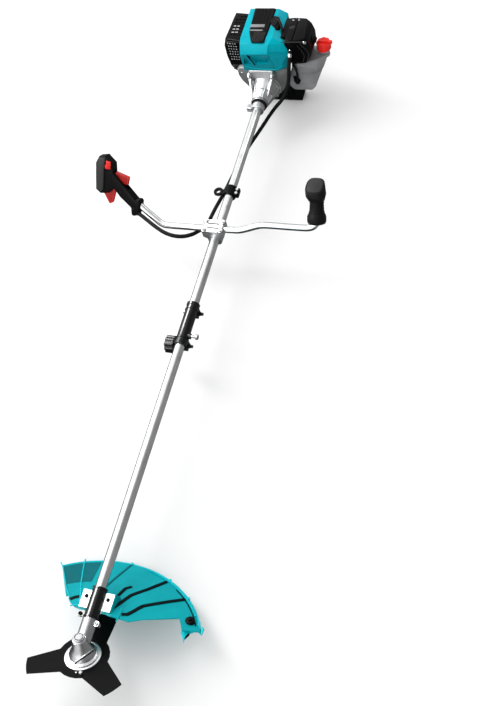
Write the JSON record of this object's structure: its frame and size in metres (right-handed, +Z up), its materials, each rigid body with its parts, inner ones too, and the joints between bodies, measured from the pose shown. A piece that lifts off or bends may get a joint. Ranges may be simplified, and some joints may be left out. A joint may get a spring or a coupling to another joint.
{
  "type": "brush cutter",
  "caption": "Petrol brush cutter with a two-piece shaft, two-handed bars, a toothed blade on an angled gear head, a debris guard and a rear engine.",
  "frame": {"origin": "middle of the engine stand's base, on the floor", "axes": "+Y along the shaft from the blade to the engine, +Z up, +X towards the plain grip and the fuel tank"},
  "size_m": [0.6665, 2.0005, 0.3445],
  "materials": {
    "teal_plastic": "moulded teal plastic, satin",
    "black_plastic": "moulded black plastic",
    "black_rubber": "soft black rubber",
    "tube_aluminium": "drawn aluminium tube, bright",
    "cast_aluminium": "die-cast aluminium, fine grain",
    "steel": "turned steel",
    "dark_steel": "black-coated steel",
    "zinc_sheet": "white zinc-coated sheet",
    "red_plastic": "moulded red plastic",
    "tank_plastic": "grey smoked plastic",
    "foam": "open-cell filter foam"
  },
  "bodies": {
    "frame": {"air_filter_case": "black_plastic", "air_filter_cover": "black_plastic", "air_filter_element": "foam", "bar_clamp_base": "cast_aluminium", "bar_clamp_cap": "cast_aluminium", "carburettor": "cast_aluminium", "clutch_housing": "cast_aluminium", "coupler_body": "black_plastic", "crankcase": "cast_aluminium", "cylinder": "cast_aluminium", "damper_ring": "black_rubber", "fan_housing": "cast_aluminium", "fuel_tank": "tank_plastic", "gear_case": "cast_aluminium", "grip_left": "black_rubber", "guard": "teal_plastic", "guard_bracket": "zinc_sheet", "guard_saddle": "black_plastic", "handlebar": "tube_aluminium", "harness_clamp": "black_plastic", "line_cutter": "dark_steel", "lower_tube": "tube_aluminium", "muffler": "dark_steel", "muffler_cover": "black_plastic", "neck_clamp": "cast_aluminium", "plug_cover": "black_plastic", "shaft_bushing": "black_rubber", "spark_plug": "steel", "stand": "black_plastic", "starter_housing": "black_plastic", "throttle_cable": "black_rubber", "top_cover": "teal_plastic", "trigger_grip_front": "black_plastic", "trigger_grip_rear": "black_plastic", "upper_tube": "tube_aluminium"},
    "crank": {"crankshaft": "steel", "flywheel": "cast_aluminium", "clutch_rotor": "dark_steel"},
    "driveline": {"clutch_drum": "steel", "drive_shaft_upper": "steel", "drive_shaft_lower": "steel", "bevel_pinion": "steel"},
    "cutter": {"spindle": "steel", "bevel_gear": "steel", "blade_holder": "cast_aluminium", "blade": "dark_steel", "blade_nut": "steel"},
    "piston_body": {"piston": "steel"},
    "trigger": {"throttle_trigger": "red_plastic"},
    "carb_arm": {"carb_throttle_arm": "steel"},
    "lockout": {"lockout_lever": "red_plastic"},
    "switch": {"stop_switch": "red_plastic"},
    "choke": {"choke_lever": "black_plastic"},
    "primer": {"primer_bulb": "tank_plastic"},
    "cap": {"fuel_cap": "red_plastic"},
    "starter_grip": {"starter_handle": "black_plastic", "starter_rope": "black_rubber"},
    "starter_reel": {"starter_pulley": "black_plastic"},
    "knob": {"coupler_knob": "black_plastic"},
    "pin": {"coupler_pin": "steel"}
  },
  "joints": [
    {"name": "crank_spin", "type": "hinge", "parent": "frame", "child": "crank", "pos_m": [0, -0.085, 0.155], "axis": [0, 1, 0], "continuous": true},
    {"name": "shaft_spin", "type": "hinge", "parent": "frame", "child": "driveline", "pos_m": [0, -0.685, 0.155], "axis": [0, 1, 0], "continuous": true},
    {"name": "cutter_spin", "type": "hinge", "parent": "frame", "child": "cutter", "pos_m": [0, -1.843, 0.155], "axis": [0, 0.4695, 0.8829], "continuous": true},
    {"name": "piston_slide", "type": "slide", "parent": "frame", "child": "piston_body", "axis": [0, 0, 1], "range_m": [-0.03, 0]},
    {"name": "throttle_trigger", "type": "hinge", "parent": "frame", "child": "trigger", "pos_m": [-0.318, -0.62305, 0.26847], "axis": [0, -0.8192, 0.5736], "range_deg": [0, 14], "stiffness_Nm_per_rad": 0.6, "springref_deg": -20.05},
    {"name": "carb_arm", "type": "hinge", "parent": "frame", "child": "carb_arm", "pos_m": [0.062, -0.063, 0.259], "axis": [0, 1, 0], "range_deg": [-57, 0]},
    {"name": "lockout_lever", "type": "hinge", "parent": "frame", "child": "lockout", "pos_m": [-0.29, -0.61158, 0.28485], "axis": [0, -0.8192, 0.5736], "range_deg": [-9, 0], "stiffness_Nm_per_rad": 0.5, "springref_deg": 11.46},
    {"name": "stop_switch", "type": "hinge", "parent": "frame", "child": "switch", "pos_m": [-0.304, -0.60134, 0.3204], "axis": [0.8192, -0.329, -0.4698], "range_deg": [-8, 8]},
    {"name": "choke_lever", "type": "hinge", "parent": "frame", "child": "choke", "pos_m": [0.096, -0.093, 0.239], "axis": [0, 1, 0], "range_deg": [-70, 0]},
    {"name": "primer_press", "type": "slide", "parent": "frame", "child": "primer", "axis": [0, 0, 1], "range_m": [0, 0.003], "stiffness_N_per_m": 500, "springref_m": -0.001},
    {"name": "fuel_cap_turn", "type": "hinge", "parent": "frame", "child": "cap", "pos_m": [0.174, -0.019, 0.225], "axis": [0, 0, 1], "range_deg": [0, 120]},
    {"name": "starter_pull", "type": "slide", "parent": "frame", "child": "starter_grip", "axis": [0, 0, 1], "range_m": [0, 0.5], "deforming": ["starter_rope"]},
    {"name": "starter_reel", "type": "hinge", "parent": "frame", "child": "starter_reel", "pos_m": [0, 0.041, 0.155], "axis": [0, 1, 0], "range_deg": [0, 760]},
    {"name": "coupler_knob", "type": "hinge", "parent": "frame", "child": "knob", "pos_m": [0, -1.036, 0.132], "axis": [1, 0, 0], "range_deg": [0, 720]},
    {"name": "coupler_pin", "type": "slide", "parent": "frame", "child": "pin", "axis": [1, 0, 0], "range_m": [0, 0.01], "stiffness_N_per_m": 600, "springref_m": -0.004}
  ],
  "couplings": [
    {"joint": "cutter_spin", "follows": "shaft_spin", "ratio": -0.73684},
    {"joint": "carb_arm", "follows": "throttle_trigger", "ratio": -4},
    {"joint": "starter_reel", "follows": "starter_pull", "rad_per_m": 26.316}
  ]
}
